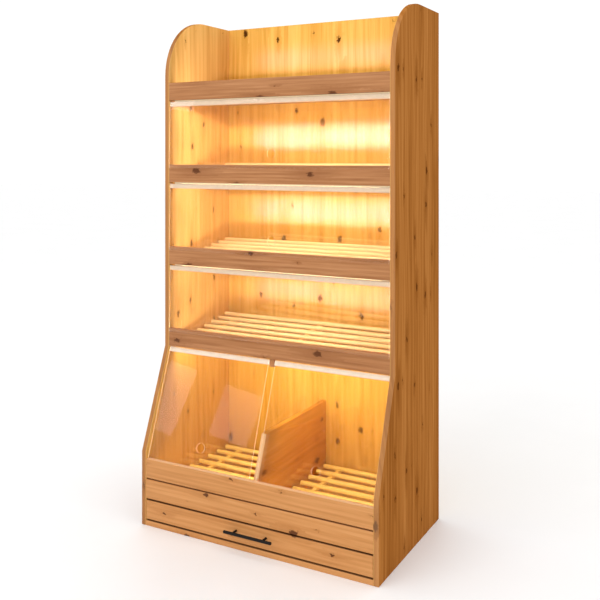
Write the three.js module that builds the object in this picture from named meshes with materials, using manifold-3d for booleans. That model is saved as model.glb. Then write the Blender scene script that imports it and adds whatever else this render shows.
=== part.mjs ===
// Bakery bread rack: a knotty softwood cabinet with an open top tray, three lit shelves behind clear
// flip-up doors, two bread bins behind sloping flip-up doors, and a shallow drawer.
// Millimetres, +Z up, front towards -Y. The origin is on the floor, under the middle of the cabinet.
import * as THREE from 'three';
import { mergeVertices } from 'three/addons/utils/BufferGeometryUtils.js';
import Module from 'manifold-3d';

const wasm = await Module();
wasm.setup();

// Cabinet
const WIDTH = 900;
const BASE_DEPTH = 540;
const UPPER_DEPTH = 410;
const BOARD = 18;
const TRAY_WALL = 243; // rise of the side panels above the top fascia
const TOP_RADIUS = 220; // round front corner of the side panels
const SLOPE_LIP = 26; // the sloping edge starts this far above the bin front
const EDGE_CHAMFER = 2; // eased front edges of the boards across the base

// Base, from the floor up
const REVEAL = 5; // gap above and below the drawer front
const DRAWER_END_GAP = 1.5; // drawer front to each side panel
const DRAWER_FRONT_HEIGHT = 66;
const LOWER_FRONT_HEIGHT = 72;
const BIN_FRONT_HEIGHT = 66;
const BOARD_LINE = 4; // rebate that shows as a dark line between the front boards
const BOARD_LINE_DEPTH = 9;
const BIN_OPENING = 370; // bin front's top edge to the lowest fascia's bottom edge

// Shelves
const SHELF_COUNT = 4;
const SHELF_PITCH = 297;
const FASCIA_HEIGHT = 64;
const SHELF_LIP = 44; // fascia top above the shelf board

// Bin divider
const DIVIDER_HEIGHT = 253;
const DIVIDER_SETBACK = 42; // behind the side panels' sloping edge

// Doors
const RAIL_HEIGHT = 17;
const RAIL_DEPTH = 10;
const RAIL_CORNER = 2;
const RAIL_GAP = 5; // below the fascia
const PIVOT_SETBACK = 11; // behind the fascia's front face
const ROD_RADIUS = 3;
const ROD_SEAT = 7; // length of rod held in a side panel or in the pivot block
const SHEET = 3; // acrylic
const SHEET_CORNER = 5;
const DOOR_SIDE_GAP = 2;
const DOOR_OVERLAP = 12; // upper doors over the fascia below
const FINGER_HOLE_RADIUS = 16;
const UPPER_HOLE_RISE = 51; // hole centre above the panel's bottom edge
const BIN_HOLE_RISE = 66;
const BLOCK_WIDTH = 18;
const BLOCK_HEIGHT = 26;
const BLOCK_SETBACK = 2;
const CENTRE_MARGIN = 4; // bin panel's inner edge to the pivot block

// Dowel racks
const DOWEL_RADIUS = 8;
const DOWEL_SINK = 1.5; // depth of the cradle that each dowel is glued into
const BATTEN_WIDTH = 14;
const BATTEN_HEIGHT = 10;
const BATTEN_INSET = 60; // from the dowels' ends
const BATTEN_OVERHANG = 11; // beyond the first and last dowel's axis
const RACK_SIDE_GAP = 10;
const SHELF_DOWEL_PITCH = 47;
const SHELF_DOWEL_MARGIN = 38; // back panel to the first dowel's axis
const SHELF_RACK_CLEARANCE = 110; // light strip to the front dowel's axis, at least
const SHELF_RACK_TILT = 9.5; // degrees that a shelf's rack rises to the back
const WEDGE_OVERHANG = 4; // tilted batten beyond the front dowel's axis
const BIN_DOWEL_PITCH = 60;
const BIN_DOWEL_MARGIN = 34;
const BIN_RACK_CLEARANCE = 30; // bin front to the front dowel's axis, at least

// Light strips
const STRIP_WIDTH = 12;
const STRIP_BASE = 3;
const STRIP_DOME = 5;
const STRIP_END_GAP = 12;
const DRIVER_WIDTH = 180;
const DRIVER_DEPTH = 45;
const DRIVER_HEIGHT = 30;
const DRIVER_CORNER = 4;
const DRIVER_BACK_GAP = 12;
const GROMMET_RADIUS = 10;
const GROMMET_BORE = 5;
const GROMMET_FLANGE = 4; // width and thickness of the lip
const GROMMET_RISE = 18; // hole's edge above the driver

// Drawer
const SLIDE_GAP = 13; // side panel to drawer side
const SLIDE_HEIGHT = 35;
const SLIDE_PAST_BACK = 2; // past the drawer's back
const SLIDE_WALL = 1.5;
const SLIDE_REACH = 9; // depth of each channel
const SLIDE_PLAY = 0.4;
const SLIDE_FRONT_GAP = 4;
const DRAWER_SIDE = 12;
const DRAWER_SIDE_HEIGHT = 56;
const DRAWER_DRIVER_GAP = 45; // drawer back to light driver
const DRAWER_FLOOR = 5;
const DRAWER_FLOOR_RISE = 6; // groove above the side's bottom edge
const GROOVE_DEPTH = 5;
const GROOVE_PLAY = 0.2;

// Handle
const HANDLE_LENGTH = 180;
const HANDLE_RADIUS = 5;
const HANDLE_OVERHANG = 33; // bar past each post
const HANDLE_PROJECTION = 30;
const HANDLE_RISE = 5; // above the middle of the drawer front
const HANDLE_CHAMFER = 1;
const POST_RADIUS = 4;

// Fits and facets
const RUNNING_GAP = 0.3;
const CUT_PAST = 1; // how far a cutter runs past the face that it opens
const CORNER_STEPS = 3;
const DOME_STEPS = 8;
const SMALL_SIDES = 16;
const ROUND_SIDES = 32;

// Places across and through the cabinet
const halfWidth = WIDTH / 2;
const innerHalf = halfWidth - BOARD;
const backFace = BASE_DEPTH / 2;
const backInner = backFace - BOARD;
const baseFront = -BASE_DEPTH / 2;
const baseInner = baseFront + BOARD;
const upperFront = backFace - UPPER_DEPTH;
const upperInner = upperFront + BOARD;

// Heights
const drawerBottom = BOARD + REVEAL;
const drawerTop = drawerBottom + DRAWER_FRONT_HEIGHT;
const binFloorBottom = drawerTop + REVEAL;
const binFloorTop = binFloorBottom + BOARD;
const binFrontBottom = binFloorBottom + LOWER_FRONT_HEIGHT;
const binFrontTop = binFrontBottom + BIN_FRONT_HEIGHT;
const slopeStart = binFrontTop + SLOPE_LIP;
const slopeEnd = binFrontTop + BIN_OPENING;
const fasciaBottom = (shelf) => slopeEnd + (SHELF_COUNT - shelf) * SHELF_PITCH;
const fasciaTop = (shelf) => fasciaBottom(shelf) + FASCIA_HEIGHT;
const shelfTop = (shelf) => fasciaTop(shelf) - SHELF_LIP;
const shelfUnderside = (shelf) => shelfTop(shelf) - BOARD;
const topEdge = fasciaTop(1) + TRAY_WALL;

// Hinge line under each fascia
const pivotY = upperFront + PIVOT_SETBACK;
const pivotZ = (shelf) => fasciaBottom(shelf) - RAIL_GAP - RAIL_HEIGHT / 2;
const panelOffset = RAIL_DEPTH / 2 + RUNNING_GAP;
const boreRadius = ROD_RADIUS + RUNNING_GAP;
const boreDepth = ROD_SEAT + RUNNING_GAP;
const blockHalf = BLOCK_WIDTH / 2;

// Power supply behind the drawer, and the grommet above it
const driverTop = BOARD + DRIVER_HEIGHT;
const grommetLip = GROMMET_RADIUS + GROMMET_FLANGE;
const grommetZ = driverTop + GROMMET_RISE + GROMMET_RADIUS;

// Drawer box
const drawerMiddle = (drawerBottom + drawerTop) / 2;
const boxBottom = drawerMiddle - DRAWER_SIDE_HEIGHT / 2;
const boxTop = drawerMiddle + DRAWER_SIDE_HEIGHT / 2;
const boxOuter = innerHalf - SLIDE_GAP;
const boxInner = boxOuter - DRAWER_SIDE;
const driverFront = backInner - DRIVER_BACK_GAP - DRIVER_DEPTH;
const boxBack = driverFront - DRAWER_DRIVER_GAP;
const floorBottom = boxBottom + DRAWER_FLOOR_RISE;
const floorTop = floorBottom + DRAWER_FLOOR;

const shelves = Array.from({ length: SHELF_COUNT }, (unused, index) => index + 1);
const doorShelves = shelves.slice(0, -1);
const rackShelves = shelves.slice(1);

const finish = (color, roughness, metalness = 0) =>
  new THREE.MeshStandardMaterial({ color, roughness, metalness });
const wood = finish(0xc98d54, 0.5);
const frontWood = finish(0xd89a5e, 0.5);
const dowelWood = finish(0xecc383, 0.55);
const ply = finish(0xd9b98a, 0.6);
const railPlastic = finish(0xf3e3d2, 0.3);
const steel = finish(0xb9bcc0, 0.3, 1);
const blackMetal = finish(0x1c1714, 0.45, 0.6);
const lightSleeve = finish(0xfff0cf, 0.4);
const driverPlastic = finish(0xe8e8e4, 0.5);
const rubber = finish(0x202020, 0.8);
const acrylic = finish(0xf6f1ea, 0.05);
acrylic.transparent = true;
acrylic.opacity = 0.25;

const rack = new THREE.Group();
const xAxis = new THREE.Vector3(1, 0, 0);
const yAxis = new THREE.Vector3(0, 1, 0);
const zAxis = new THREE.Vector3(0, 0, 1);

function piece(name, geometry, material, parent = rack) {
  const mesh = new THREE.Mesh(geometry, material);
  mesh.name = name;
  parent.add(mesh);
  return mesh;
}

// A block between two corners
function block(x0, x1, y0, y1, z0, z1) {
  const geometry = new THREE.BoxGeometry(x1 - x0, y1 - y0, z1 - z0);
  return geometry.translate((x0 + x1) / 2, (y0 + y1) / 2, (z0 + z1) / 2);
}

// A profile drawn in Y and Z, swept along X
function sweptAlongX(profile, x0, x1) {
  const geometry = new THREE.ExtrudeGeometry(profile, { depth: x1 - x0, bevelEnabled: false });
  geometry.applyMatrix4(new THREE.Matrix4().makeBasis(yAxis, zAxis, xAxis));
  return geometry.translate(x0, 0, 0);
}

// A profile drawn in X and Z, swept along Y
function sweptAlongY(profile, y0, y1) {
  const geometry = new THREE.ExtrudeGeometry(profile, { depth: y1 - y0, bevelEnabled: false });
  geometry.applyMatrix4(new THREE.Matrix4().makeBasis(xAxis, zAxis, yAxis.clone().negate()));
  return geometry.translate(0, y1, 0);
}

function rodAlongX(radius, x0, x1, y, z, sides = SMALL_SIDES) {
  const geometry = new THREE.CylinderGeometry(radius, radius, x1 - x0, sides);
  return geometry.rotateZ(Math.PI / 2).translate((x0 + x1) / 2, y, z);
}

function rodAlongY(radius, y0, y1, x, z, sides = SMALL_SIDES) {
  const geometry = new THREE.CylinderGeometry(radius, radius, y1 - y0, sides);
  return geometry.translate(x, (y0 + y1) / 2, z);
}

function solid(geometry) {
  const bare = geometry.clone();
  bare.deleteAttribute('normal');
  bare.deleteAttribute('uv');
  const merged = mergeVertices(bare);
  const vertProperties = new Float32Array(merged.attributes.position.array);
  const triVerts = new Uint32Array(merged.index.array);
  return new wasm.Manifold(new wasm.Mesh({ numProp: 3, vertProperties, triVerts }));
}

function shell(manifold) {
  const mesh = manifold.getMesh();
  const geometry = new THREE.BufferGeometry();
  geometry.setAttribute('position', new THREE.BufferAttribute(mesh.vertProperties, 3));
  geometry.setIndex(new THREE.BufferAttribute(mesh.triVerts, 1));
  geometry.computeVertexNormals();
  return geometry;
}

const cut = (body, tools) => shell(tools.reduce((left, tool) => left.subtract(solid(tool)), solid(body)));
const join = (bodies) => shell(bodies.map(solid).reduce((whole, body) => whole.add(body)));

function polygon(points) {
  return new THREE.Shape(points.map(([u, v]) => new THREE.Vector2(u, v)));
}

// Points along an arc, with angles in quarter turns
function arc(u, v, radiusU, radiusV, from, to, steps) {
  const quarter = Math.PI / 2;
  const curve = new THREE.EllipseCurve(u, v, radiusU, radiusV, from * quarter, to * quarter, to < from);
  return curve.getPoints(steps);
}

function roundedRectangle(u0, u1, v0, v1, radius) {
  const corners = [[u1 - radius, v0 + radius], [u1 - radius, v1 - radius]];
  corners.push([u0 + radius, v1 - radius], [u0 + radius, v0 + radius]);
  const points = corners.flatMap(([u, v], turn) =>
    arc(u, v, radius, radius, turn - 1, turn, CORNER_STEPS));
  return new THREE.Shape(points);
}

function roundHole(u, v, radius, sides) {
  return new THREE.Path(arc(u, v, radius, radius, 0, 4, sides).slice(1));
}

// Sloping front edge of the side panels: depth at a height
function slopeY(z) {
  return baseFront + ((upperFront - baseFront) * (z - slopeStart)) / (slopeEnd - slopeStart);
}

function sidePanelOutline() {
  const radius = Math.min(TOP_RADIUS, TRAY_WALL, UPPER_DEPTH - BOARD);
  const outline = polygon([
    [backFace, topEdge],
    [backFace, 0],
    [baseFront, 0],
    [baseFront, slopeStart],
    [upperFront, slopeEnd],
  ]);
  const round = arc(upperFront + radius, topEdge - radius, radius, radius, 2, 1, SMALL_SIDES);
  round.forEach((point) => outline.lineTo(point.x, point.y));
  return outline;
}

// Both side panels, drilled on the inside for the door rods
function addSidePanels() {
  const outline = sidePanelOutline();
  const sides = { left_side_panel: -1, right_side_panel: 1 };
  for (const [name, side] of Object.entries(sides)) {
    const [x0, x1] = [side * innerHalf, side * halfWidth].sort((a, b) => a - b);
    const ends = [side * (innerHalf - CUT_PAST), side * (innerHalf + boreDepth)].sort((a, b) => a - b);
    const bores = shelves.map((shelf) => rodAlongX(boreRadius, ...ends, pivotY, pivotZ(shelf)));
    piece(name, cut(sweptAlongX(outline, x0, x1), bores), wood);
  }
}

function addBackPanel() {
  const panel = block(-innerHalf, innerHalf, backInner, backFace, 0, topEdge);
  const hole = rodAlongY(
    GROMMET_RADIUS + RUNNING_GAP, backInner - CUT_PAST, backFace + CUT_PAST, 0, grommetZ, ROUND_SIDES,
  );
  piece('back_panel', cut(panel, [hole]), wood);
}

function addShelves() {
  for (const shelf of shelves) {
    const heights = [shelfUnderside(shelf), shelfTop(shelf)];
    piece(`shelf_board_${shelf}`, block(-innerHalf, innerHalf, upperInner, backInner, ...heights), wood);
    const lipHeights = [fasciaBottom(shelf), fasciaTop(shelf)];
    piece(`fascia_${shelf}`, block(-innerHalf, innerHalf, upperFront, upperInner, ...lipHeights), wood);
  }
}

// A board across the base front, with its front edges eased and a rebate along its top if asked
function frontBoard(halfLength, z0, z1, rebate = 0) {
  const faceTop = z1 - rebate;
  const lineBack = baseFront + BOARD_LINE_DEPTH;
  const shoulder = rebate > 0 ? [[lineBack, z1], [lineBack, faceTop]] : [];
  const profile = polygon([
    [baseInner, z0],
    [baseInner, z1],
    ...shoulder,
    [baseFront + EDGE_CHAMFER, faceTop],
    [baseFront, faceTop - EDGE_CHAMFER],
    [baseFront, z0 + EDGE_CHAMFER],
    [baseFront + EDGE_CHAMFER, z0],
  ]);
  return sweptAlongX(profile, -halfLength, halfLength);
}

function addBase() {
  piece('bottom_board', block(-innerHalf, innerHalf, baseFront, backInner, 0, BOARD), wood);
  piece('bin_floor', block(-innerHalf, innerHalf, baseInner, backInner, binFloorBottom, binFloorTop), wood);
  piece('lower_front_board', frontBoard(innerHalf, binFloorBottom, binFrontBottom, BOARD_LINE), frontWood);
  piece('bin_front_board', frontBoard(innerHalf, binFrontBottom, binFrontTop), frontWood);
}

// Divider between the bins, with its front edge parallel to the slope
function addDivider() {
  const top = binFloorTop + DIVIDER_HEIGHT;
  const frontY = (z) => Math.max(baseInner, slopeY(z) + DIVIDER_SETBACK);
  const rise = (slopeEnd - slopeStart) / (upperFront - baseFront);
  const meeting = slopeStart + (baseInner - baseFront - DIVIDER_SETBACK) * rise;
  const bend = Math.min(Math.max(meeting, binFloorTop), top);
  const outline = polygon([
    [backInner, binFloorTop],
    [backInner, top],
    [frontY(top), top],
    [frontY(bend), bend],
    [frontY(binFloorTop), binFloorTop],
  ]);
  piece('bin_divider', sweptAlongX(outline, -BOARD / 2, BOARD / 2), wood);
}

// Hanging block that holds the inner ends of both bin door rods
function addPivotBlock() {
  const lowest = fasciaBottom(SHELF_COUNT);
  const body = block(
    -blockHalf, blockHalf, upperFront + BLOCK_SETBACK, upperInner, lowest - BLOCK_HEIGHT, lowest,
  );
  const bores = [-1, 1].map((side) => {
    const ends = [side * (blockHalf - boreDepth), side * (blockHalf + CUT_PAST)].sort((a, b) => a - b);
    return rodAlongX(boreRadius, ...ends, pivotY, pivotZ(SHELF_COUNT));
  });
  piece('centre_pivot_block', cut(body, bores), frontWood);
}

// Dowels glued across battens, wedges where the rack rises to the back. The first dowel is at the back.
function dowelRack(x0, x1, floorZ, battenXs, { pitch, margin, frontLimit, rise, slope, overhang }) {
  const firstY = backInner - margin;
  const count = Math.floor((firstY - frontLimit) / pitch) + 1;
  const lastY = firstY - (count - 1) * pitch;
  const axisZ = (y) => floorZ + rise + slope * (y - lastY);
  const cradleZ = (y) => axisZ(y) - DOWEL_RADIUS + DOWEL_SINK;
  const frontY = lastY - overhang;
  const backY = firstY + BATTEN_OVERHANG;
  const side = polygon([
    [frontY, floorZ], [backY, floorZ], [backY, cradleZ(backY)], [frontY, cradleZ(frontY)],
  ]);
  const battens = battenXs.map((x) => sweptAlongX(side, x - BATTEN_WIDTH / 2, x + BATTEN_WIDTH / 2));
  const dowels = Array.from({ length: count }, (unused, index) => {
    const y = firstY - index * pitch;
    return rodAlongX(DOWEL_RADIUS, x0, x1, y, axisZ(y));
  });
  return join([...battens, ...dowels]);
}

function addRacks() {
  const reach = innerHalf - RACK_SIDE_GAP;
  const outerBatten = reach - BATTEN_INSET;
  const tilted = {
    pitch: SHELF_DOWEL_PITCH,
    margin: SHELF_DOWEL_MARGIN,
    frontLimit: upperInner + STRIP_WIDTH + SHELF_RACK_CLEARANCE,
    rise: DOWEL_RADIUS + RUNNING_GAP,
    slope: Math.tan(THREE.MathUtils.degToRad(SHELF_RACK_TILT)),
    overhang: WEDGE_OVERHANG,
  };
  for (const shelf of rackShelves) {
    const battens = [-outerBatten, 0, outerBatten];
    piece(`shelf_rack_${shelf}`, dowelRack(-reach, reach, shelfTop(shelf), battens, tilted), dowelWood);
  }
  const level = {
    pitch: BIN_DOWEL_PITCH,
    margin: BIN_DOWEL_MARGIN,
    frontLimit: baseInner + BIN_RACK_CLEARANCE,
    rise: BATTEN_HEIGHT + DOWEL_RADIUS - DOWEL_SINK,
    slope: 0,
    overhang: BATTEN_OVERHANG,
  };
  const inner = BOARD / 2 + RACK_SIDE_GAP;
  const bins = { bin_rack_left: [-reach, -inner], bin_rack_right: [inner, reach] };
  for (const [name, [x0, x1]] of Object.entries(bins)) {
    const battens = [x0 + BATTEN_INSET, x1 - BATTEN_INSET];
    piece(name, dowelRack(x0, x1, binFloorTop, battens, level), dowelWood);
  }
}

// Sleeved light strip with a domed face, stuck to a shelf behind the fascia. Direction 1 faces up.
function lightStrip(seatZ, direction) {
  const middle = upperInner + STRIP_WIDTH / 2;
  const shoulder = seatZ + direction * STRIP_BASE;
  const profile = polygon([[upperInner, seatZ], [upperInner + STRIP_WIDTH, seatZ]]);
  const dome = arc(middle, shoulder, STRIP_WIDTH / 2, STRIP_DOME, 0, 2 * direction, DOME_STEPS);
  dome.forEach((point) => profile.lineTo(point.x, point.y));
  return sweptAlongX(profile, STRIP_END_GAP - innerHalf, innerHalf - STRIP_END_GAP);
}

function addLights() {
  for (const shelf of shelves) {
    piece(`light_strip_up_${shelf}`, lightStrip(shelfTop(shelf), 1), lightSleeve);
    piece(`light_strip_down_${shelf}`, lightStrip(shelfUnderside(shelf), -1), lightSleeve);
  }
}

// Power supply, and the grommet where its lead passes the back panel
function addPower() {
  const footprint = roundedRectangle(
    -DRIVER_WIDTH / 2, DRIVER_WIDTH / 2,
    driverFront, backInner - DRIVER_BACK_GAP, DRIVER_CORNER,
  );
  const housing = new THREE.ExtrudeGeometry(footprint, { depth: DRIVER_HEIGHT, bevelEnabled: false });
  piece('light_driver', housing.translate(0, 0, BOARD), driverPlastic);
  const bushing = [
    [GROMMET_BORE, backFace],
    [GROMMET_RADIUS, backFace],
    [GROMMET_RADIUS, backInner - RUNNING_GAP],
    [grommetLip, backInner - RUNNING_GAP],
    [grommetLip, backInner - RUNNING_GAP - GROMMET_FLANGE],
    [GROMMET_BORE, backInner - RUNNING_GAP - GROMMET_FLANGE],
    [GROMMET_BORE, backFace],
  ].reverse().map(([radius, along]) => new THREE.Vector2(radius, along));
  piece('cable_grommet', new THREE.LatheGeometry(bushing, ROUND_SIDES).translate(0, 0, grommetZ), rubber);
}

// Lean of a panel, hung a set distance in front of its pivot, that passes a point in front and below
function leanThrough(forward, drop, offset) {
  return Math.atan2(forward, drop) - Math.asin(offset / Math.hypot(forward, drop));
}

// A flip-up door: rail, rod through it, and clear panel with a finger hole, in a group turned by its lean
function addDoor(name, door) {
  const { railX, panelX, rodX, shelf, lean, length, holeRise } = door;
  const leaf = new THREE.Group();
  leaf.position.set(0, pivotY, pivotZ(shelf));
  leaf.rotation.x = -lean;
  rack.add(leaf);
  const section = roundedRectangle(
    -RAIL_DEPTH / 2, RAIL_DEPTH / 2, -RAIL_HEIGHT / 2, RAIL_HEIGHT / 2, RAIL_CORNER,
  );
  section.holes.push(roundHole(0, 0, boreRadius, SMALL_SIDES));
  piece(`${name}_rail`, sweptAlongX(section, ...railX), railPlastic, leaf);
  piece(`${name}_rod`, rodAlongX(ROD_RADIUS, ...rodX, 0, 0), steel, leaf);
  const sheet = roundedRectangle(...panelX, -length, RAIL_HEIGHT / 2, SHEET_CORNER);
  const holeX = (panelX[0] + panelX[1]) / 2;
  sheet.holes.push(roundHole(holeX, holeRise - length, FINGER_HOLE_RADIUS, ROUND_SIDES));
  piece(`${name}_panel`, sweptAlongY(sheet, -panelOffset - SHEET, -panelOffset), acrylic, leaf);
}

function addUpperDoors() {
  const reach = innerHalf - DOOR_SIDE_GAP;
  const seat = innerHalf + ROD_SEAT;
  for (const shelf of doorShelves) {
    const drop = pivotZ(shelf) - fasciaTop(shelf + 1);
    const lean = leanThrough(PIVOT_SETBACK + RUNNING_GAP, drop, panelOffset);
    addDoor(`upper_door_${shelf}`, {
      railX: [-reach, reach],
      panelX: [-reach, reach],
      rodX: [-seat, seat],
      shelf,
      lean,
      length: (drop + DOOR_OVERLAP) / Math.cos(lean),
      holeRise: UPPER_HOLE_RISE,
    });
  }
}

// The bin doors' bottom edges rest on the middle of the bin front's top edge
function addBinDoors() {
  const forward = pivotY - baseFront - BOARD / 2;
  const drop = pivotZ(SHELF_COUNT) - binFrontTop - RUNNING_GAP;
  const lean = leanThrough(forward, drop, panelOffset + SHEET / 2);
  const length = (drop + panelOffset * Math.sin(lean)) / Math.cos(lean);
  const outer = innerHalf - DOOR_SIDE_GAP;
  const railInner = blockHalf + RUNNING_GAP;
  const panelInner = blockHalf + CENTRE_MARGIN;
  const rodEnds = [blockHalf - ROD_SEAT, innerHalf + ROD_SEAT];
  const doors = { bin_door_left: -1, bin_door_right: 1 };
  for (const [name, side] of Object.entries(doors)) {
    const span = (near, far) => [side * near, side * far].sort((a, b) => a - b);
    addDoor(name, {
      railX: span(railInner, outer),
      panelX: span(panelInner, outer),
      rodX: span(...rodEnds),
      shelf: SHELF_COUNT,
      lean,
      length,
      holeRise: BIN_HOLE_RISE,
    });
  }
}

// C-shaped slide channel. Base is the X of its web's outer face, and inward points to the open side.
function slideChannel(base, inward, height, middleZ, y0, y1) {
  const web = base + inward * SLIDE_WALL;
  const tip = base + inward * SLIDE_REACH;
  const half = height / 2;
  const profile = polygon([
    [base, middleZ - half],
    [tip, middleZ - half],
    [tip, middleZ - half + SLIDE_WALL],
    [web, middleZ - half + SLIDE_WALL],
    [web, middleZ + half - SLIDE_WALL],
    [tip, middleZ + half - SLIDE_WALL],
    [tip, middleZ + half],
    [base, middleZ + half],
  ]);
  return sweptAlongY(profile, y0, y1);
}

// Drawer side, grooved on the inside for the drawer bottom
function drawerSide(side) {
  const profile = polygon([
    [side * boxOuter, boxBottom],
    [side * boxOuter, boxTop],
    [side * boxInner, boxTop],
    [side * boxInner, floorTop + GROOVE_PLAY],
    [side * (boxInner + GROOVE_DEPTH), floorTop + GROOVE_PLAY],
    [side * (boxInner + GROOVE_DEPTH), floorBottom - GROOVE_PLAY],
    [side * boxInner, floorBottom - GROOVE_PLAY],
    [side * boxInner, boxBottom],
  ]);
  return sweptAlongY(profile, baseInner, boxBack);
}

function addDrawer() {
  const slideFront = baseInner + SLIDE_FRONT_GAP;
  const slideBack = boxBack + SLIDE_PAST_BACK;
  const innerHeight = SLIDE_HEIGHT - 2 * (SLIDE_WALL + SLIDE_PLAY);
  const sides = { left: -1, right: 1 };
  for (const [name, side] of Object.entries(sides)) {
    const outer = slideChannel(side * innerHalf, -side, SLIDE_HEIGHT, drawerMiddle, slideFront, slideBack);
    piece(`slide_outer_${name}`, outer, steel);
    const inner = slideChannel(side * boxOuter, side, innerHeight, drawerMiddle, slideFront, slideBack);
    piece(`slide_inner_${name}`, inner, steel);
    piece(`drawer_side_${name}`, drawerSide(side), ply);
  }
  piece('drawer_front', frontBoard(innerHalf - DRAWER_END_GAP, drawerBottom, drawerTop), frontWood);
  const back = block(-boxInner, boxInner, boxBack - DRAWER_SIDE, boxBack, floorTop + GROOVE_PLAY, boxTop);
  piece('drawer_back', back, ply);
  const floorHalf = boxInner + GROOVE_DEPTH - RUNNING_GAP;
  piece('drawer_bottom', block(-floorHalf, floorHalf, baseInner, boxBack, floorBottom, floorTop), ply);
}

// Bar handle on two posts, each post hollowed at its end to seat the bar
function addHandle() {
  const z = drawerMiddle + HANDLE_RISE;
  const barY = baseFront - HANDLE_PROJECTION + HANDLE_RADIUS;
  const half = HANDLE_LENGTH / 2;
  const profile = [
    [0, -half],
    [HANDLE_RADIUS - HANDLE_CHAMFER, -half],
    [HANDLE_RADIUS, -half + HANDLE_CHAMFER],
    [HANDLE_RADIUS, half - HANDLE_CHAMFER],
    [HANDLE_RADIUS - HANDLE_CHAMFER, half],
    [0, half],
  ].map(([radius, along]) => new THREE.Vector2(radius, along));
  const bar = new THREE.LatheGeometry(profile, ROUND_SIDES).rotateZ(Math.PI / 2).translate(0, barY, z);
  piece('handle_bar', bar, blackMetal);
  const posts = { handle_post_left: -1, handle_post_right: 1 };
  for (const [name, side] of Object.entries(posts)) {
    const x = side * (half - HANDLE_OVERHANG);
    const post = rodAlongY(POST_RADIUS, barY, baseFront, x, z);
    const saddle = rodAlongX(
      HANDLE_RADIUS + RUNNING_GAP, x - HANDLE_RADIUS, x + HANDLE_RADIUS, barY, z, ROUND_SIDES,
    );
    piece(name, cut(post, [saddle]), blackMetal);
  }
}

addSidePanels();
addBackPanel();
addShelves();
addBase();
addDivider();
addPivotBlock();
addRacks();
addLights();
addPower();
addUpperDoors();
addBinDoors();
addDrawer();
addHandle();

export default rack;
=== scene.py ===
"""Bakery bread rack: materials, rounded arrises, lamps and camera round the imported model."""
import math

import bpy
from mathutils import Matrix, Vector


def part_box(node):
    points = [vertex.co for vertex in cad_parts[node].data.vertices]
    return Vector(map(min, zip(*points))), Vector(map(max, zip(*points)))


# The CAD pieces, in sets that share a look or an arris.
SHELVES = (1, 2, 3, 4)
UPPER_DOORS = ("upper_door_1", "upper_door_2", "upper_door_3")
BIN_DOORS = ("bin_door_left", "bin_door_right")
PANELS = ["left_side_panel", "right_side_panel"]
FASCIAS = [f"fascia_{n}" for n in SHELVES]
FRONTS = ["lower_front_board", "drawer_front", "bottom_board"]
SHELF_BOARDS = [f"shelf_board_{n}" for n in SHELVES]
OTHER_BOARDS = ["back_panel", "bin_divider", "bin_front_board", "bin_floor", "centre_pivot_block"]
SHELF_RACKS = [f"shelf_rack_{n}" for n in SHELVES[1:]]
BIN_RACKS = ["bin_rack_left", "bin_rack_right"]
STRIPS = [f"light_strip_{way}_{n}" for way in ("up", "down") for n in SHELVES]
UPPER_PANES = [f"{door}_panel" for door in UPPER_DOORS]
BIN_PANES = [f"{door}_panel" for door in BIN_DOORS]
UPPER_RAILS = [f"{door}_rail" for door in UPPER_DOORS]
BIN_RAILS = [f"{door}_rail" for door in BIN_DOORS]
RODS = [f"{door}_rod" for door in UPPER_DOORS + BIN_DOORS]
SLIDES = [f"slide_{part}_{side}" for part in ("outer", "inner") for side in ("left", "right")]
DRAWER_BOX = ["drawer_side_left", "drawer_side_right", "drawer_back", "drawer_bottom"]
HANDLE = ["handle_bar", "handle_post_left", "handle_post_right"]

# Camera, read off the photograph: lens and sensor in millimetres, place in metres, yaw in radians.
LENS = 49.84
SENSOR = 36
CAMERA_PLACE = (1.4337, -2.5619, 1.2849)
CAMERA_YAW = 0.5
HORIZON_SHIFT = -0.237

# Studio, in metres and watts.
GROUND_SIZE = 60
GROUND_TONES = ((0.96, 0.96, 0.96, 1), (0.94, 0.94, 0.94, 1))
GROUND_SCALE = 2
GROUND_ROUGHNESS = 0.6
WORLD_WHITE = (1.0, 1.0, 1.0, 1)
WORLD_STRENGTH = 1.05
KEY_COLOUR = (1, 1, 1)
KEY_POWER = 45
KEY_SIZE = 3.0
KEY_PLACE = (-0.8, -3.2, 4.2)
KEY_AIM = (0, 0, 0.7)
# Two soft boxes whose reflections lie in the left bin's door: place, width, height.
BOXES = (((-5.62, -7.07, 2.78), 0.40, 0.92), ((-4.80, -7.50, 2.83), 0.55, 0.70))
BOX_AIM = (-0.25, -0.2, 0.42)
BOX_COLOUR = (1, 0.82, 0.8)
BOX_POWER = 6.5

# Lamps inside the rack, hidden behind the fascias. A strip's crest cuts their light off.
UP = 1
DOWN = -1
LAMP_COLOUR = (1.0, 0.93, 0.85)
LAMP_LENGTH = 0.78
LAMP_WIDTH = 0.00015
LAMP_FASCIA_GAP = 0.001
LAMP_TILT = math.radians(30)
LAMP_SPREAD = math.radians(150)
FULL_SPREAD = math.radians(180)
STRIP_DOME = 0.005
# The three compartments, from the top.
LAMP_POWERS = (2.3, 2.1, 1.85)
UP_CUT_OFF = math.radians(15.6)
DOWN_CUT_OFFS = (math.radians(12.8), math.radians(9.0), math.radians(12.8))
# The tray's lamp, and a weaker one that reaches lower.
TRAY_LAMP_COLOUR = (1.0, 0.88, 1.15)
TRAY_LAMP_POWER = 1.35
TRAY_CUT_OFF = math.radians(15.4)
TRAY_FILL_COLOUR = (1.0, 0.70, 0.10)
TRAY_FILL_POWER = 0.5
TRAY_FILL_CUT_OFF = math.radians(3)
# The bins' lamp above, and one for each bin behind the front board's top edge.
BIN_LAMP_COLOUR = (1.0, 0.83, 0.45)
BIN_LAMP_POWER = 3.1
BIN_CUT_OFF = math.radians(12.8)
BIN_FILL_POWER = 0.3
BIN_FILL_INSET = 0.004
BIN_FILL_PLACE = 0.22
BIN_FILL_LENGTH = 0.32
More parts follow.
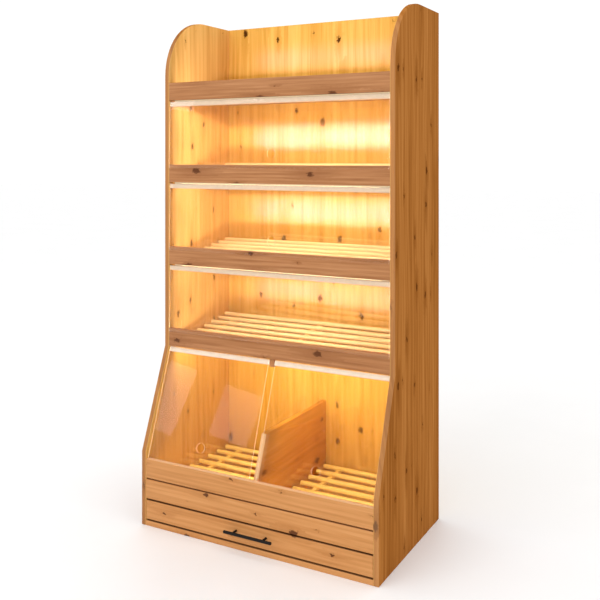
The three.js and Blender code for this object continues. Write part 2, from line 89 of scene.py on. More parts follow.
# Cool beams on the palest bands of the back panel.
BEAM_COLOUR = (0.1, 0.12, 1.0)
BEAM_LENGTH = 0.68
BEAM_PLACE = 0.05
BEAM_SPREAD = math.radians(18)
BEAM_POWERS = (1.1, 0.9, 0.5)
TRAY_BEAM_POWER = 0.25
TRAY_BEAM_RISE = 0.045

# Arrises and shading.
JOIN_REACH = 0.00001
BOARD_ARRIS = 0.0012
PLY_ARRIS = 0.0008
ARRIS_SEGMENTS = 2
ARRIS_ANGLE = math.radians(35)
ROUND_ANGLE = math.radians(25)

# Wood tones, as (light, middle, dark), linear.
# Outer tones: painted shade, darker than the lamp-lit insides of the side panels.
SHADED_OUTER_TONES = ((0.49, 0.200, 0.050, 1), (0.385, 0.142, 0.029, 1), (0.25, 0.080, 0.012, 1))
INNER_TONES = ((0.74, 0.44, 0.112, 1), (0.65, 0.36, 0.076, 1), (0.52, 0.258, 0.040, 1))
SIDE_TONES = ((0.80, 0.48, 0.150, 1), (0.71, 0.395, 0.108, 1), (0.57, 0.28, 0.060, 1))
DIVIDER_TONES = ((0.68, 0.32, 0.060, 1), (0.59, 0.25, 0.036, 1), (0.46, 0.175, 0.020, 1))
# Shelf boards: darker, a painted shade in the gaps between the racks' dowels.
SHADED_SHELF_TONES = ((0.49, 0.245, 0.060, 1), (0.40, 0.182, 0.040, 1), (0.29, 0.118, 0.022, 1))
FASCIA_TONES = ((0.54, 0.258, 0.112, 1), (0.43, 0.186, 0.070, 1), (0.30, 0.112, 0.036, 1))
FRONT_TONES = ((0.68, 0.325, 0.118, 1), (0.60, 0.268, 0.085, 1), (0.49, 0.200, 0.055, 1))
# Bin floor: darker, a painted shade in the gaps between the bins' dowels.
SHADED_BIN_FLOOR_TONES = ((0.50, 0.175, 0.012, 1), (0.41, 0.130, 0.007, 1), (0.29, 0.084, 0.004, 1))
DOWEL_TONES = ((0.94, 0.74, 0.38, 1), (0.91, 0.68, 0.30, 1), (0.80, 0.54, 0.18, 1))
# The bins' dowels: a brighter, more golden copy of the dowel wood, painted lamp light.
LIT_BIN_DOWEL_TONES = ((0.95, 0.73, 0.27, 1), (0.93, 0.67, 0.19, 1), (0.82, 0.53, 0.11, 1))
PLY_TONES = ((0.78, 0.60, 0.38, 1), (0.68, 0.48, 0.27, 1), (0.55, 0.36, 0.18, 1))
KNOT_COLOUR = (0.115, 0.032, 0.005, 1)
LIT_KNOT_COLOUR = (0.055, 0.015, 0.003, 1)
# How far from the rack's middle the painted shade on the side panels' outsides begins and is complete.
OUTER_SKIN = (0.4325, 0.4345)

# Painted highlights and painted shade on edge faces: an axis, the painted colour of the faces across it and
# that colour's share.
# Paler edge faces: a painted highlight where light catches the boards' tops and front edges.
PAINTED_EDGE_HIGHLIGHT = (0.88, 0.60, 0.36, 1)
# Darker edge faces: a painted shadow in the gaps above and below the front boards.
PAINTED_GAP_SHADE = (0.11, 0.040, 0.014, 1)
SIDE_EDGE_HIGHLIGHT = ("y", PAINTED_EDGE_HIGHLIGHT, 0.12)
FRONT_GAP_SHADE = ("z", PAINTED_GAP_SHADE, 0.7)
LIP_EDGE_HIGHLIGHT = ("z", PAINTED_EDGE_HIGHLIGHT, 0.6)
DIVIDER_EDGE_HIGHLIGHT = ("y", PAINTED_EDGE_HIGHLIGHT, 0.6)
EDGE_FACING = (0.6, 0.9)

# Knots. Each cell, so wide and so long, holds one. Its core and halo are squeezed along the grain.
KNOT_CELL = (0.085, 0.23)
KNOT_CHANCES = (0.2, 1.0)
SMALLEST_KNOT = 0.0005
KNOT_SIZE = 0.013
SIDE_KNOT_SIZE = 0.010
BACK_KNOT_SIZE = 0.014
CORE_SQUEEZE = 0.65
CORE_OUTSIDE = 1.05
CORE_INSIDE = 0.6
CORE_SHARE = 0.97
HALO_SQUEEZE = 0.22
HALO_REACH = 3.2
HALO_SHARE = 0.75
# Noise that tears the knots' outlines across the grain and along it: scale, layer of noise, reach.
TEAR_ACROSS = ((130, 70), 0.0, 0.008)
TEAR_ALONG = ((110, 60), 5.0, 0.014)
TEAR_DETAIL = 3
TEAR_ROUGHNESS = 0.75
TEAR_RANGE = (0.2, 0.8)

# Grain. Scales are for a metre across the grain and a metre along it.
RING_SCALE = 230
RING_SWAY = 34
RING_BEND = 5
RING_SHARE = 0.05
SWAY_SCALE = (5, 0.8)
BROAD_SCALE = (9, 0.5)
BROAD_SHARE = 0.31
STREAK_SCALE = (48, 1.3)
STREAK_ROUGHNESS = 0.65
STREAK_SHARE = 0.5
FIBRE_SCALE = (320, 7)
FIBRE_SHARE = 0.14
COARSE_DETAIL = 2
STREAK_DETAIL = 4
FASCIA_FINE = 1.9
FRONT_FINE = 1.7
SIDE_STAVE = 0.06
BACK_STAVE = 0.048
STAVE_SHADE = 0.03
JOINT_RANGE = (0.485, 0.5)
JOINT_SHADE = 0.06
TONE_STOPS = (0.36, 0.5, 0.64)
WOOD_ROUGHNESS = 0.45
WOOD_GLOSS = 0.2
DIVIDER_GLOSS = 0.05
FIBRE_BUMP = 0.06
FIBRE_DEPTH = 0.001

# Fine wood without knots.
PLAIN_STREAK_SCALE = (60, 2.2)
PLAIN_STREAK_ROUGHNESS = 0.6
PLAIN_STREAK_SHARE = 0.6
PLAIN_FIBRE_SCALE = (420, 9)
PLAIN_FIBRE_SHARE = 0.4
PLAIN_STOPS = (0.32, 0.5, 0.68)
PLAIN_ROUGHNESS = 0.5

# Paint, plastic, rubber and metal: tones as (light, dark), and how fine their unevenness is.
RAIL_TONES = ((0.83, 0.65, 0.47, 1), (0.77, 0.59, 0.42, 1))
# The bins' rails: a paler copy of the rail plastic, painted light from the lamp above them.
LIT_BIN_RAIL_TONES = ((0.96, 0.82, 0.66, 1), (0.91, 0.76, 0.60, 1))
RAIL_SCALE = 60
RAIL_ROUGHNESS = 0.35
RAIL_GLOSS = 0.2
BLACK_TONES = ((0.012, 0.008, 0.006, 1), (0.006, 0.004, 0.003, 1))
BLACK_SCALE = 900
BLACK_ROUGHNESS = 0.45
BLACK_GLOSS = 0.15
BLACK_BUMP = 0.1
DRIVER_TONES = ((0.80, 0.80, 0.78, 1), (0.72, 0.72, 0.70, 1))
DRIVER_SCALE = 300
DRIVER_ROUGHNESS = 0.55
RUBBER_TONES = ((0.026, 0.026, 0.026, 1), (0.014, 0.014, 0.014, 1))
RUBBER_SCALE = 500
RUBBER_ROUGHNESS = 0.75
MOTTLE_DETAIL = 4
MOTTLE_ROUGHNESS = 0.6
MOTTLE_STOPS = (0.35, 0.65)
MOTTLE_RANGE = (0.3, 0.7)
MOTTLE_SWINGS = (0.85, 1.15)
MOTTLE_GLOSS = 0.5
MOTTLE_BUMP = 0.05
MOTTLE_DEPTH = 0.0005
STEEL_TONES = ((0.62, 0.63, 0.64, 1), (0.48, 0.49, 0.50, 1))
STEEL_ROUGHNESS = 0.32
DRAWN_SCALE = (12, 900)
DRAWN_DETAIL = 3
DRAWN_RANGE = (0.3, 0.7)
DRAWN_SWINGS = (0.8, 1.2)

# Clear doors. The ranges of facing say where a face turns into an edge, and an edge into an upright one.
ACRYLIC_INDEX = 1.49
ACRYLIC_TINTS = ((0.97, 0.90, 0.85, 1), (0.93, 0.84, 0.78, 1))
ACRYLIC_STOPS = (0.3, 0.7)
WIPE_SCALE = (6, 22)
WIPE_DETAIL = 4
WIPE_ROUGHNESS = 0.65
EDGE_TURN = (0.8, 0.5)
UPRIGHT_TURN = (0.3, 0.9)
# Painted shade on the doors' level edges.
PAINTED_LEVEL_EDGE_SHADE = (0.30, 0.15, 0.06, 1)
FACE_ALPHA = 0.16
EDGE_ALPHA = 0.85
# Painted glow on the doors' edges, which are no lamps.
NO_GLOW = (0, 0, 0, 1)
PAINTED_GLOW_COLOUR = (1.0, 0.85, 0.6, 1)
UPPER_PAINTED_GLOW = 0.5
BIN_PAINTED_GLOW = 0.65

# Light strips.
LED_PITCH = 0.0167
LED_DIP = 0.75
GLOW_COLOUR = (1.0, 0.80, 0.52, 1)
GLOW_DIM = (0.9, 0.6, 0.28, 1)
GLOW_STRENGTH = 0.75
GLOW_BASE = (0.03, 0.02, 0.01, 1)

# A mix node's colour sockets, by number because its sockets share their names.
MIX_A = 6
MIX_B = 7
MIX_RESULT = 2


class Tree:
    """One material's nodes, added one after another."""

    def __init__(self, name):
        self.material = bpy.data.materials.new(name)
        self.material.use_nodes = True
        self.nodes = self.material.node_tree.nodes
        self.links = self.material.node_tree.links
        self.shader = self.nodes["Principled BSDF"]

    def feed(self, socket, value):
        """Joins a socket to another node's output, or sets it to a constant."""
        if isinstance(value, bpy.types.NodeSocket):
            self.links.new(value, socket)
        else:
            socket.default_value = value

    def set(self, **values):
        """Feeds the shader's sockets, with spaces written as underscores."""
        for key, value in values.items():
            self.feed(self.shader.inputs[key.replace("_", " ")], value)

    def split(self, kind):
        """One of the point's coordinates, as x, y and z."""
        source = self.nodes.new("ShaderNodeTexCoord").outputs[kind]
        node = self.nodes.new("ShaderNodeSeparateXYZ")
        self.links.new(source, node.inputs[0])
        return node.outputs

    def axes(self):
        """The point's x, y and z in the rack's own frame."""
        return self.split("Object")

    def facing(self):
        """The surface's own direction, as x, y and z."""
        return self.split("Normal")

    def along(self, axes, name):
        """The distance across the grain and the distance along it."""
        run = "xyz".index(name)
        first, second = [axis for axis in range(3) if axis != run]
        return self.math("ADD", axes[first], axes[second]), axes[run]

    def math(self, operation, a, b=0.0):
        node = self.nodes.new("ShaderNodeMath")
        node.operation = operation
        self.feed(node.inputs[0], a)
        self.feed(node.inputs[1], b)
        return node.outputs[0]

    def weighed(self, *parts):
        """The sum of values, each times its share."""
        total, *rest = [self.math("MULTIPLY", value, share) for value, share in parts]
        for part in rest:
            total = self.math("ADD", total, part)
        return total

    def vector(self, x, y, z=0.0):
        node = self.nodes.new("ShaderNodeCombineXYZ")
        for socket, value in zip(node.inputs, (x, y, z)):
            self.feed(socket, value)
        return node.outputs[0]

    def stretched(self, x, y, scale, z=0.0):
        """A flat point with each of its two directions scaled."""
        x_scale, y_scale = scale
        return self.vector(self.math("MULTIPLY", x, x_scale), self.math("MULTIPLY", y, y_scale), z)

    def vector_math(self, operation, a, b):
        node = self.nodes.new("ShaderNodeVectorMath")
        node.operation = operation
        self.feed(node.inputs[0], a)
        self.feed(node.inputs[1], b)
        return node.outputs["Value" if operation == "LENGTH" else "Vector"]

    def squeezed_length(self, offset, squeeze):
        """The length of a flat offset that is squeezed along the grain."""
        squeezed = self.vector_math("MULTIPLY", offset, (1, squeeze, 0))
        return self.vector_math("LENGTH", squeezed, (0, 0, 0))

    def noise(self, point, detail, roughness=0.5):
        node = self.nodes.new("ShaderNodeTexNoise")
        self.links.new(point, node.inputs["Vector"])
        node.inputs["Scale"].default_value = 1
        node.inputs["Detail"].default_value = detail
        node.inputs["Roughness"].default_value = roughness
        return node.outputs[0]

    def span(self, value, low, high, to_low=0.0, to_high=1.0, smooth=True):
        """A value moved from one range to another."""
        node = self.nodes.new("ShaderNodeMapRange")
        node.interpolation_type = "SMOOTHSTEP" if smooth else "LINEAR"
        for socket, amount in zip(node.inputs, (value, low, high, to_low, to_high)):
            self.feed(socket, amount)
        return node.outputs[0]

    def ramp(self, factor, places, tones):
        """A colour between tones, which are given from light to dark and placed from dark to light."""
        node = self.nodes.new("ShaderNodeValToRGB")
        self.links.new(factor, node.inputs[0])
        elements = node.color_ramp.elements
        while len(elements) < len(places):
            elements.new(0.5)
        for element, place, tone in zip(elements, places, reversed(tones)):
            element.position = place
            element.color = tone
        return node.outputs[0]

    def mix(self, factor, a, b):
        node = self.nodes.new("ShaderNodeMix")
        node.data_type = "RGBA"
        self.feed(node.inputs[0], factor)
        self.feed(node.inputs[MIX_A], a)
        self.feed(node.inputs[MIX_B], b)
        return node.outputs[MIX_RESULT]

    def bump(self, height, strength, distance):
        node = self.nodes.new("ShaderNodeBump")
        self.links.new(height, node.inputs["Height"])
        node.inputs["Strength"].default_value = strength
        node.inputs["Distance"].default_value = distance
        self.links.new(node.outputs[0], self.shader.inputs["Normal"])


def torn(tree, across, run, tear):
    """How far a knot's outline is pulled out of place."""
    scale, layer, reach = tear
    ragged = tree.noise(tree.stretched(across, run, scale, layer), TEAR_DETAIL, TEAR_ROUGHNESS)
    return tree.span(ragged, *TEAR_RANGE, -reach, reach, smooth=False)


def knots(tree, across, run, largest):
    """Where the knots' cores are, and the halos round them."""
    cell_across, cell_run = KNOT_CELL
    near = tree.math("ADD", across, torn(tree, across, run, TEAR_ACROSS))
    far = tree.math("ADD", run, torn(tree, across, run, TEAR_ALONG))
    cells = tree.stretched(near, far, (1 / cell_across, 1 / cell_run))
    middles = tree.nodes.new("ShaderNodeTexVoronoi")
    middles.voronoi_dimensions = "2D"
    middles.inputs["Scale"].default_value = 1
    tree.links.new(cells, middles.inputs["Vector"])
    from_knot = tree.vector_math("SUBTRACT", cells, middles.outputs["Position"])
    from_knot = tree.vector_math("MULTIPLY", from_knot, (cell_across, cell_run, 0))
    chance = tree.nodes.new("ShaderNodeSeparateColor")
    tree.links.new(middles.outputs["Color"], chance.inputs[0])
    size = tree.span(chance.outputs[0], *KNOT_CHANCES, SMALLEST_KNOT, largest, smooth=False)
    outside = tree.math("MULTIPLY", size, CORE_OUTSIDE)
    inside = tree.math("MULTIPLY", size, CORE_INSIDE)
    core = tree.span(tree.squeezed_length(from_knot, CORE_SQUEEZE), outside, inside)
    reach = tree.math("MULTIPLY", size, HALO_REACH)
    halo = tree.span(tree.squeezed_length(from_knot, HALO_SQUEEZE), reach, 0.0)
    return core, halo


def grain(tree, across, run, halo, fine):
    """The wood's tone, from its streaks, fibres, rings and broad changes, and the fibres alone."""
    sway = tree.noise(tree.stretched(across, run, SWAY_SCALE), COARSE_DETAIL)
    phase = tree.weighed((across, RING_SCALE * fine), (sway, RING_SWAY), (halo, RING_BEND))
    ring = tree.span(tree.math("SINE", phase), -1, 1)
    broad = tree.noise(tree.stretched(across, run, BROAD_SCALE), COARSE_DETAIL)
    streak_scale = [scale * fine for scale in STREAK_SCALE]
    streak = tree.noise(tree.stretched(across, run, streak_scale), STREAK_DETAIL, STREAK_ROUGHNESS)
    fibre = tree.noise(tree.stretched(across, run, FIBRE_SCALE), COARSE_DETAIL)
    parts = ((streak, STREAK_SHARE), (fibre, FIBRE_SHARE), (ring, RING_SHARE), (broad, BROAD_SHARE))
    return tree.weighed(*parts), fibre


def staved(tree, tone, across, width):
    """A tone that changes from one glued stave to the next, with a thin dark joint between them."""
    place = tree.math("DIVIDE", across, width)
    shade = tree.nodes.new("ShaderNodeTexWhiteNoise")
    shade.noise_dimensions = "1D"
    tree.links.new(tree.math("FLOOR", place), shade.inputs["W"])
    change = tree.span(shade.outputs["Value"], 0.0, 1.0, -STAVE_SHADE, STAVE_SHADE, smooth=False)
    from_middle = tree.math("ABSOLUTE", tree.math("SUBTRACT", tree.math("FRACT", place), 0.5))
    joint = tree.span(from_middle, *JOINT_RANGE, 0.0, JOINT_SHADE)
    return tree.math("SUBTRACT", tree.math("ADD", tone, change), joint)


def knotted(tree, tone, halo, core, tones, knot_colour):
    """Wood colour from a tone, darker round knots and darkest in them."""
    colour = tree.ramp(tone, TONE_STOPS, tones)
    dark = tones[-1]
    colour = tree.mix(tree.math("MULTIPLY", halo, HALO_SHARE), colour, dark)
    return tree.mix(tree.math("MULTIPLY", core, CORE_SHARE), colour, knot_colour)


def wood(
    name, along, tones, outer=None, edge=None, stave=None, knot_size=KNOT_SIZE, fine=1.0, gloss=WOOD_GLOSS,
    lit=False,
):
    """Knotty softwood with its grain along one axis.

    Outer tones are painted shade on the side panels' outsides, and edge is a painted highlight or painted
    shade on the faces across an axis. Stave is the width of the strips that a board is glued up from, fine
    narrows the grain, and a lit board has darker knots.
    """
    tree = Tree(name)
    axes = tree.axes()
    across, run = tree.along(axes, along)
    core, halo = knots(tree, across, run, knot_size)
    tone, fibre = grain(tree, across, run, halo, fine)
    if stave:
        tone = staved(tree, tone, across, stave)
    colour = knotted(tree, tone, halo, core, tones, LIT_KNOT_COLOUR if lit else KNOT_COLOUR)
    # Painted shade on the side panels' outsides.
    if outer:
        skin = tree.span(tree.math("ABSOLUTE", axes[0]), *OUTER_SKIN)
        colour = tree.mix(skin, colour, knotted(tree, tone, halo, core, outer, KNOT_COLOUR))
    # Painted highlight or painted shade on the faces across the edge's axis.
    if edge:
        axis, painted_edge_light_or_shade, share = edge
        facing = tree.math("ABSOLUTE", tree.facing()["xyz".index(axis)])
        colour = tree.mix(tree.span(facing, *EDGE_FACING, 0.0, share), colour, painted_edge_light_or_shade)
    tree.set(Base_Color=colour, Roughness=WOOD_ROUGHNESS, Specular_IOR_Level=gloss)
    tree.bump(fibre, FIBRE_BUMP, FIBRE_DEPTH)
    return tree.material


def plain_wood(name, tones):
    """Fine pale wood without knots, with its grain along x."""
    tree = Tree(name)
    across, run = tree.along(tree.axes(), "x")
    streak_point = tree.stretched(across, run, PLAIN_STREAK_SCALE)
    streak = tree.noise(streak_point, STREAK_DETAIL, PLAIN_STREAK_ROUGHNESS)
    fibre = tree.noise(tree.stretched(across, run, PLAIN_FIBRE_SCALE), COARSE_DETAIL)
    tone = tree.weighed((streak, PLAIN_STREAK_SHARE), (fibre, PLAIN_FIBRE_SHARE))
    tree.set(Base_Color=tree.ramp(tone, PLAIN_STOPS, tones), Roughness=PLAIN_ROUGHNESS)
    tree.bump(fibre, FIBRE_BUMP, FIBRE_DEPTH)
    return tree.material


def mottled(name, tones, scale, roughness, gloss=MOTTLE_GLOSS, bump=MOTTLE_BUMP):
    """Paint, plastic, rubber or metal with a fine unevenness of tone and gloss."""
    tree = Tree(name)
    x, y, z = tree.axes()
    point = tree.vector_math("MULTIPLY", tree.vector(x, y, z), (scale, scale, scale))
    uneven = tree.noise(point, MOTTLE_DETAIL, MOTTLE_ROUGHNESS)
    tree.set(Base_Color=tree.ramp(uneven, MOTTLE_STOPS, tones), Specular_IOR_Level=gloss)
    roughness_range = [roughness * swing for swing in MOTTLE_SWINGS]
    tree.set(Roughness=tree.span(uneven, *MOTTLE_RANGE, *roughness_range))
    tree.bump(uneven, bump, MOTTLE_DEPTH)
    return tree.material


def plated_steel(name):
    """Plated steel, drawn along x and y."""
    tree = Tree(name)
    x, y, z = tree.axes()
    drawn = tree.noise(tree.stretched(tree.math("ADD", x, y), z, DRAWN_SCALE), DRAWN_DETAIL)
    tree.set(Base_Color=tree.ramp(drawn, DRAWN_RANGE, STEEL_TONES), Metallic=1.0)
    roughness_range = [STEEL_ROUGHNESS * swing for swing in DRAWN_SWINGS]
    tree.set(Roughness=tree.span(drawn, *DRAWN_RANGE, *roughness_range))
    return tree.material


def acrylic(name, painted_glow, level_dark):
    """Clear polished sheet with faint wiping marks, and a painted glow on its edges.

    With level_dark, only its upright edges get the painted glow, and its level ones get painted shade.
    """
    tree = Tree(name)
    x, y, z = tree.axes()
    marks = tree.noise(tree.stretched(x, z, WIPE_SCALE, y), WIPE_DETAIL, WIPE_ROUGHNESS)
    tint = tree.ramp(marks, ACRYLIC_STOPS, ACRYLIC_TINTS)
    facing = tree.facing()
    edge = tree.span(tree.math("ABSOLUTE", facing[1]), *EDGE_TURN)
    glow = edge
    if level_dark:
        glow = tree.span(tree.math("ABSOLUTE", facing[0]), *UPRIGHT_TURN)
        # Painted shade on the level edges.
        tint = tree.mix(tree.math("SUBTRACT", edge, glow), tint, PAINTED_LEVEL_EDGE_SHADE)
    tree.set(Base_Color=tint)
    tree.set(Roughness=0.0, IOR=ACRYLIC_INDEX, Transmission_Weight=1.0)
    tree.set(Alpha=tree.span(edge, 0.0, 1.0, FACE_ALPHA, EDGE_ALPHA))
    # Painted glow: the edges emit light though the sheet is no lamp.
    tree.set(Emission_Color=tree.ramp(glow, (0.0, 1.0), (PAINTED_GLOW_COLOUR, NO_GLOW)))
    tree.set(Emission_Strength=painted_glow)
    return tree.material


def glowing(name):
    """Milky sleeve lit by a row of small lamps."""
    tree = Tree(name)
    x = tree.axes()[0]
    wave = tree.math("SINE", tree.math("MULTIPLY", x, 2 * math.pi / LED_PITCH))
    dots = tree.span(wave, -1, 1, LED_DIP, 1.0)
    tree.set(Base_Color=GLOW_BASE, Specular_IOR_Level=0.0)
    tree.set(Emission_Color=tree.ramp(dots, (0.0, 1.0), (GLOW_COLOUR, GLOW_DIM)))
    tree.set(Emission_Strength=GLOW_STRENGTH)
    return tree.material


def paint(nodes, names, material):
    """Gives CAD pieces one material."""
    for name in names:
        slots = nodes[name].data.materials
        slots.clear()
        slots.append(material)


def dress(nodes):
    """Every piece of the rack gets its material."""
    side_wood = wood(
        "side_wood", "z", SIDE_TONES, outer=SHADED_OUTER_TONES, edge=SIDE_EDGE_HIGHLIGHT, stave=SIDE_STAVE,
        knot_size=SIDE_KNOT_SIZE, gloss=0.0, lit=True,
    )
    back_wood = wood(
        "back_wood", "z", INNER_TONES, stave=BACK_STAVE, knot_size=BACK_KNOT_SIZE, gloss=0.0, lit=True,
    )
    fascia_wood = wood("fascia_wood", "x", FASCIA_TONES, fine=FASCIA_FINE)
    front_wood = wood("front_wood", "x", FRONT_TONES, edge=FRONT_GAP_SHADE, fine=FRONT_FINE)
    lip_wood = wood("lip_wood", "x", FRONT_TONES, edge=LIP_EDGE_HIGHLIGHT, fine=FRONT_FINE)
    shelf_wood = wood("shelf_wood", "x", SHADED_SHELF_TONES)
    bin_floor_wood = wood("bin_floor_wood", "x", SHADED_BIN_FLOOR_TONES)
    divider_wood = wood("divider_wood", "y", DIVIDER_TONES, edge=DIVIDER_EDGE_HIGHLIGHT, gloss=DIVIDER_GLOSS)
    dowel_wood = plain_wood("dowel_wood", DOWEL_TONES)
    bin_dowel_wood = plain_wood("bin_dowel_wood", LIT_BIN_DOWEL_TONES)
    ply = plain_wood("ply", PLY_TONES)
    clear = acrylic("acrylic", UPPER_PAINTED_GLOW, level_dark=True)
    bin_clear = acrylic("bin_acrylic", BIN_PAINTED_GLOW, level_dark=False)
    rail = mottled("rail", RAIL_TONES, RAIL_SCALE, RAIL_ROUGHNESS, RAIL_GLOSS)
    bin_rail = mottled("bin_rail", LIT_BIN_RAIL_TONES, RAIL_SCALE, RAIL_ROUGHNESS, RAIL_GLOSS)
    steel = plated_steel("steel")
    black = mottled("black_metal", BLACK_TONES, BLACK_SCALE, BLACK_ROUGHNESS, BLACK_GLOSS, BLACK_BUMP)
    light = glowing("light")
    driver = mottled("driver", DRIVER_TONES, DRIVER_SCALE, DRIVER_ROUGHNESS)
    rubber = mottled("rubber", RUBBER_TONES, RUBBER_SCALE, RUBBER_ROUGHNESS)

    looks = (
        (PANELS, side_wood),
        (["back_panel"], back_wood),
        (FASCIAS + ["centre_pivot_block"], fascia_wood),
        (FRONTS, front_wood),
        (["bin_front_board"], lip_wood),
        (SHELF_BOARDS, shelf_wood),
        (["bin_floor"], bin_floor_wood),
        (["bin_divider"], divider_wood),
        (SHELF_RACKS, dowel_wood),
        (BIN_RACKS, bin_dowel_wood),
        (STRIPS, light),
        (["light_driver"], driver),
        (["cable_grommet"], rubber),
        (SLIDES + RODS, steel),
        (UPPER_RAILS, rail),
        (BIN_RAILS, bin_rail),
        (UPPER_PANES, clear),
        (BIN_PANES, bin_clear),
        (DRAWER_BOX, ply),
        (HANDLE, black),
    )
    for names, material in looks:
        paint(nodes, names, material)


class Shaper:
    """One modifier's nodes, each of which takes the shape on from the one before."""

    def __init__(self, name):
        self.group = bpy.data.node_groups.new(name, "GeometryNodeTree")
        for way in ("INPUT", "OUTPUT"):
            self.group.interface.new_socket("Geometry", in_out=way, socket_type="NodeSocketGeometry")
        self.shape = self.group.nodes.new("NodeGroupInput").outputs[0]

    def step(self, kind):
        node = self.group.nodes.new(kind)
        self.group.links.new(self.shape, node.inputs["Geometry"])
        self.shape = node.outputs["Geometry"]
        return node

    def feed_edges(self, socket, measure, operation, limit):
        """Feeds a socket with whether each edge turns more or less than a limit."""
        turn = self.group.nodes.new("GeometryNodeInputMeshEdgeAngle")
        test = self.group.nodes.new("FunctionNodeCompare")
        test.operation = operation
        test.inputs["B"].default_value = limit
        self.group.links.new(turn.outputs[measure], test.inputs["A"])
        self.group.links.new(test.outputs["Result"], socket)

    def finish(self):
        end = self.group.nodes.new("NodeGroupOutput")
        self.group.links.new(self.shape, end.inputs[0])
        return self.group


def joined_shape():
    """Joins a piece's loose triangles and marks its outward arrises, whose angles are positive."""
    shaper = Shaper("joined_shape")
    shaper.step("GeometryNodeMergeByDistance").inputs["Distance"].default_value = JOIN_REACH
    marks = shaper.step("GeometryNodeStoreNamedAttribute")
    marks.data_type = "FLOAT"
    marks.domain = "EDGE"
    marks.inputs["Name"].default_value = "bevel_weight_edge"
    shaper.feed_edges(marks.inputs["Value"], "Signed Angle", "GREATER_THAN", ARRIS_ANGLE)
    return shaper.finish()


def round_shading():
    """Shades a piece's faces smooth, with the edges that turn more than a little kept sharp."""
    shaper = Shaper("round_shading")
    shaper.step("GeometryNodeSetShadeSmooth")
    edges = shaper.step("GeometryNodeSetShadeSmooth")
    edges.domain = "EDGE"
    shaper.feed_edges(edges.inputs["Shade Smooth"], "Unsigned Angle", "LESS_THAN", ROUND_ANGLE)
    return shaper.finish()


def shape_with(pieces, group):
    """Gives CAD pieces one group of nodes as a modifier."""
    for piece in pieces:
        piece.modifiers.new(group.name, "NODES").node_group = group


def soften(nodes, names, width):
    """Rounds the marked arrises of CAD pieces a little."""
    for name in names:
        edge = nodes[name].modifiers.new("arris", "BEVEL")
        edge.width = width
        edge.segments = ARRIS_SEGMENTS
        edge.limit_method = "WEIGHT"


def round_off(nodes):
    """Boards get rounded arrises, and every piece's round faces are shaded smooth."""
    shape_with(nodes.values(), joined_shape())
    soften(nodes, PANELS + FASCIAS + FRONTS + SHELF_BOARDS + OTHER_BOARDS, BOARD_ARRIS)
    soften(nodes, DRAWER_BOX, PLY_ARRIS)
    shape_with(nodes.values(), round_shading())


def area_lamp(name, power, colour, width, length, place, target, spread=FULL_SPREAD):
    """A flat lamp at a place, facing a target."""
    lamp = bpy.data.lights.new(name, "AREA")
    lamp.energy = power
    lamp.color = colour
    lamp.shape = "RECTANGLE"
    lamp.size = length
    lamp.size_y = width
    lamp.spread = spread
    thing = bpy.data.objects.new(name, lamp)
    bpy.context.scene.collection.objects.link(thing)
    thing.location = place
    towards = [b - a for a, b in zip(place, target)]
    thing.rotation_mode = "QUATERNION"
    thing.rotation_quaternion = Vector(towards).to_track_quat("-Z", "Y")


def crest_lamp(strip, power, way, cut_off, colour=LAMP_COLOUR):
    """A thin lamp in front of its strip's crest, which cuts its light off. Way is UP or DOWN."""
    low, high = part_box(strip)
    y = low[1] + LAMP_FASCIA_GAP
    half_width = (high[1] - low[1]) / 2
    slope = math.tan(cut_off)
    drop = STRIP_DOME + (half_width - LAMP_FASCIA_GAP) * slope - math.hypot(half_width * slope, STRIP_DOME)
    z = high[2] - drop if way > 0 else low[2] + drop
    target = (0, y + math.cos(LAMP_TILT), z + way * math.sin(LAMP_TILT))
    area_lamp(strip + "_lamp", power, colour, LAMP_WIDTH, LAMP_LENGTH, (0, y, z), target, LAMP_SPREAD)


def light_edge(strip, way, cut_off):
    """The height on the back panel where a strip's crest cuts its lamp's light off."""
    low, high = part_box(strip)
    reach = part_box("back_panel")[0][1] - low[1] - LAMP_FASCIA_GAP
    start = high[2] if way > 0 else low[2]
    return start + way * reach * math.tan(cut_off)


def beam_lamp(strip, power, height):
    """A narrow beam from a strip to a height on the back panel."""
    low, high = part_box(strip)
    place = (BEAM_PLACE, low[1] + LAMP_FASCIA_GAP, high[2])
    target = (BEAM_PLACE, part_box("back_panel")[0][1], height)
    area_lamp(strip + "_beam", power, BEAM_COLOUR, LAMP_WIDTH, BEAM_LENGTH, place, target, BEAM_SPREAD)


def bin_fill(x):
    """A thin lamp behind the bin front board's top edge that lights one bin's dowels from the front."""
    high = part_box("bin_front_board")[1]
    place = (x, high[1] + BIN_FILL_INSET, high[2] - BIN_FILL_INSET)
    target = (x, place[1] + math.cos(LAMP_TILT), place[2] - math.sin(LAMP_TILT))
    size = (LAMP_WIDTH, BIN_FILL_LENGTH)
    area_lamp("bin_fill", BIN_FILL_POWER, BIN_LAMP_COLOUR, *size, place, target, LAMP_SPREAD)


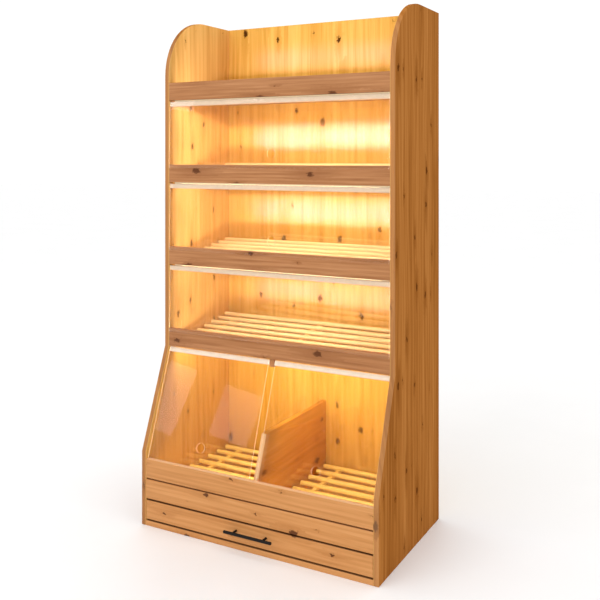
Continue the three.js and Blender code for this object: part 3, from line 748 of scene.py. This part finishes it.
def inner_lamps():
    """Lamps along the strips and behind the bin front board, and beams on the back panel's palest bands."""
    tray = "light_strip_up_1"
    crest_lamp(tray, TRAY_LAMP_POWER, UP, TRAY_CUT_OFF, TRAY_LAMP_COLOUR)
    crest_lamp(tray, TRAY_FILL_POWER, UP, TRAY_FILL_CUT_OFF, TRAY_FILL_COLOUR)
    beam_lamp(tray, TRAY_BEAM_POWER, light_edge(tray, UP, TRAY_CUT_OFF) + TRAY_BEAM_RISE)
    compartments = zip(SHELVES[1:], LAMP_POWERS, BEAM_POWERS, DOWN_CUT_OFFS)
    for n, lamp_power, beam_power, down_cut_off in compartments:
        lower = f"light_strip_up_{n}"
        upper = f"light_strip_down_{n - 1}"
        crest_lamp(lower, lamp_power, UP, UP_CUT_OFF)
        crest_lamp(upper, lamp_power, DOWN, down_cut_off)
        band = (light_edge(lower, UP, UP_CUT_OFF) + light_edge(upper, DOWN, down_cut_off)) / 2
        beam_lamp(lower, beam_power, band)
    crest_lamp("light_strip_down_4", BIN_LAMP_POWER, DOWN, BIN_CUT_OFF, BIN_LAMP_COLOUR)
    bin_fill(-BIN_FILL_PLACE)
    bin_fill(BIN_FILL_PLACE)


def studio():
    """White floor, white surround, one wide soft lamp and two soft boxes."""
    scene = bpy.context.scene
    world = bpy.data.worlds.new("surround")
    world.use_nodes = True
    background = world.node_tree.nodes["Background"]
    background.inputs["Color"].default_value = WORLD_WHITE
    background.inputs["Strength"].default_value = WORLD_STRENGTH
    scene.world = world

    bpy.ops.mesh.primitive_plane_add(size=GROUND_SIZE)
    floor = bpy.context.object
    floor.name = "floor"
    floor.data.materials.append(mottled("floor", GROUND_TONES, GROUND_SCALE, GROUND_ROUGHNESS, bump=0.0))
    area_lamp("key", KEY_POWER, KEY_COLOUR, KEY_SIZE, KEY_SIZE, KEY_PLACE, KEY_AIM)
    for place, width, height in BOXES:
        area_lamp("strip_box", BOX_POWER, BOX_COLOUR, height, width, place, BOX_AIM)


def camera():
    """The photograph's camera: level, with its view moved down."""
    data = bpy.data.cameras.new("camera")
    data.sensor_width = SENSOR
    data.lens = LENS
    data.shift_y = HORIZON_SHIFT
    thing = bpy.data.objects.new("camera", data)
    thing.location = CAMERA_PLACE
    thing.rotation_euler = (math.pi / 2, 0, CAMERA_YAW)
    bpy.context.scene.collection.objects.link(thing)
    bpy.context.scene.camera = thing


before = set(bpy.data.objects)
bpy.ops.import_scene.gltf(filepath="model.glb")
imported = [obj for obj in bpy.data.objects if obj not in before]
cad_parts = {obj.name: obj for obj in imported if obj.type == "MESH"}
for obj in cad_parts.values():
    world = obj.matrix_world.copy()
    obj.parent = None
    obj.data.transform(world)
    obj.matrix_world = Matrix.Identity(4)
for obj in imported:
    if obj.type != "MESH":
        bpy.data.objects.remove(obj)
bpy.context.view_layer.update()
dress(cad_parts)
round_off(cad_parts)
inner_lamps()
studio()
camera()
bpy.context.scene.view_settings.view_transform = "Standard"
